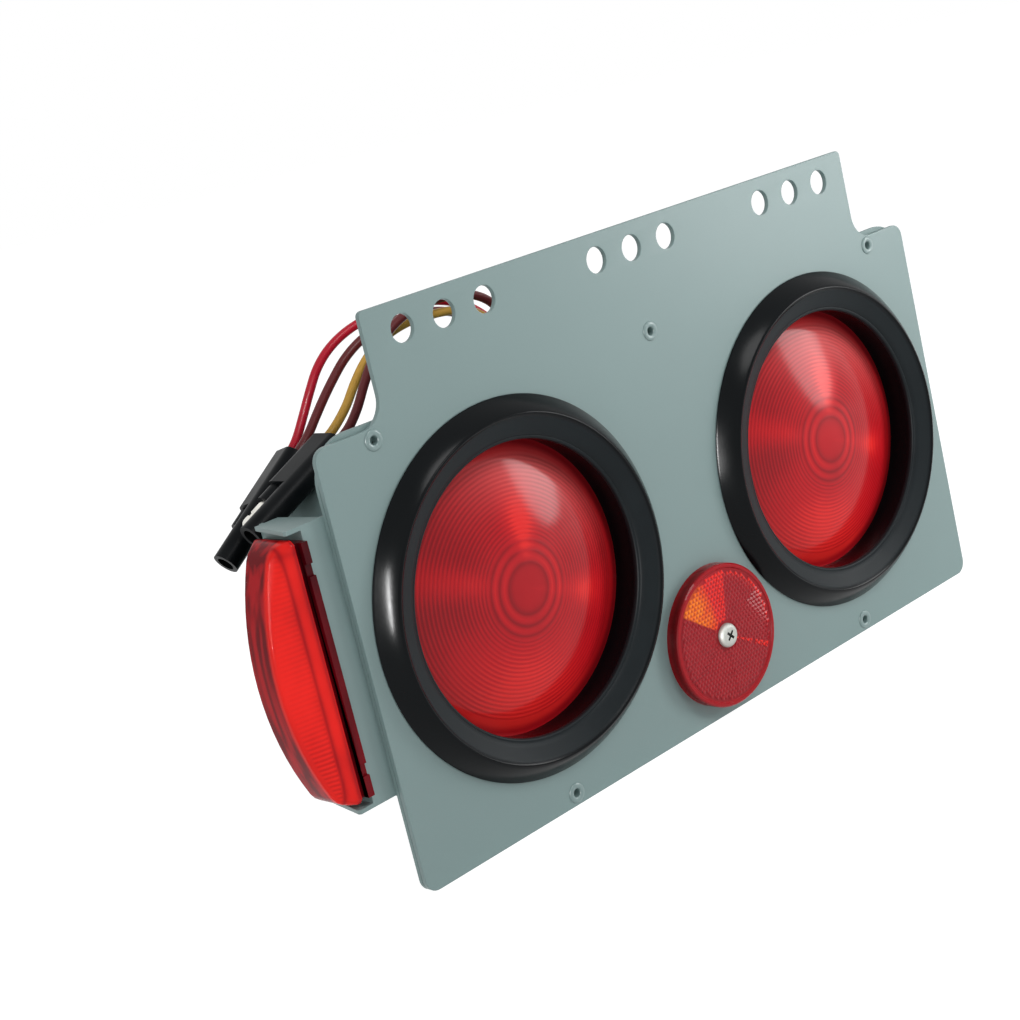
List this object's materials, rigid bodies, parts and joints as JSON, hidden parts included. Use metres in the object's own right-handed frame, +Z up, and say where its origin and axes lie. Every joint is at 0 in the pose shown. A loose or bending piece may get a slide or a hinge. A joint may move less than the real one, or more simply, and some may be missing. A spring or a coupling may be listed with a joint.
{
  "type": "rear combination lamp",
  "caption": "Rear combination lamp module: painted panel with bolting strip, round rubber-mounted red lamps, reflex reflector, side marker on a bracket, drawn rear cover and plugged leads",
  "frame": {"origin": "the middle hole of the bolting strip's middle group, on the panel's front face", "axes": "+X along the strip, away from the side marker; +Y from the panel's front to its rear; +Z up"},
  "size_m": [0.3429, 0.0711, 0.1897],
  "materials": {
    "panel_paint": "satin grey enamel",
    "cover_paint": "satin grey enamel over a deep-drawn sheet",
    "bracket_paint": "satin grey enamel",
    "rivet_paint": "enamel over steel",
    "lamp_rubber": "moulded, slightly glossy",
    "lead_rubber": "moulded, matt",
    "lens_red": "clear red acrylic, glossy",
    "marker_red": "clear red acrylic, glossy",
    "marker_base_red": "dark red moulding",
    "reflex_red": "clear red acrylic over cube corners",
    "reflex_back": "moulded",
    "lamp_shell": "metallised bowl",
    "bulb_glass": "clear",
    "brass": "bright",
    "zinc_steel": "zinc plated",
    "bullet_metal": "tinned",
    "lead_red": "vinyl insulation",
    "lead_brown": "vinyl insulation",
    "lead_yellow": "vinyl insulation"
  },
  "bodies": {
    "root": {"mounting_panel": "panel_paint", "rear_cover": "cover_paint", "cover_rivets": "rivet_paint", "grommet_left": "lamp_rubber", "grommet_right": "lamp_rubber", "lens_left": "lens_red", "lens_right": "lens_red", "lamp_body_left": "lamp_shell", "lamp_body_right": "lamp_shell", "bulb_left": "bulb_glass", "bulb_right": "bulb_glass", "bulb_base_left": "brass", "bulb_base_right": "brass", "contact_pins_left": "brass", "contact_pins_right": "brass", "reflex_reflector": "reflex_red", "reflector_back": "reflex_back", "reflector_screw": "zinc_steel", "reflector_nut": "zinc_steel", "reflector_washer": "zinc_steel", "marker_bracket": "bracket_paint", "bracket_rivets": "rivet_paint", "marker_base": "marker_base_red", "marker_screws": "zinc_steel", "marker_lens": "marker_red", "marker_bulb": "bulb_glass", "marker_bulb_caps": "zinc_steel", "marker_clips": "brass", "marker_gland": "lead_rubber", "lead_bush": "lead_rubber", "wire_red": "lead_red", "wire_brown_a": "lead_brown", "wire_yellow": "lead_yellow", "wire_brown_b": "lead_brown", "plug_body_a": "lead_rubber", "plug_body_b": "lead_rubber", "bullet_pin_a": "bullet_metal", "bullet_pin_b": "bullet_metal", "plug_sleeve_a": "brass", "plug_sleeve_b": "brass"}
  },
  "joints": []
}
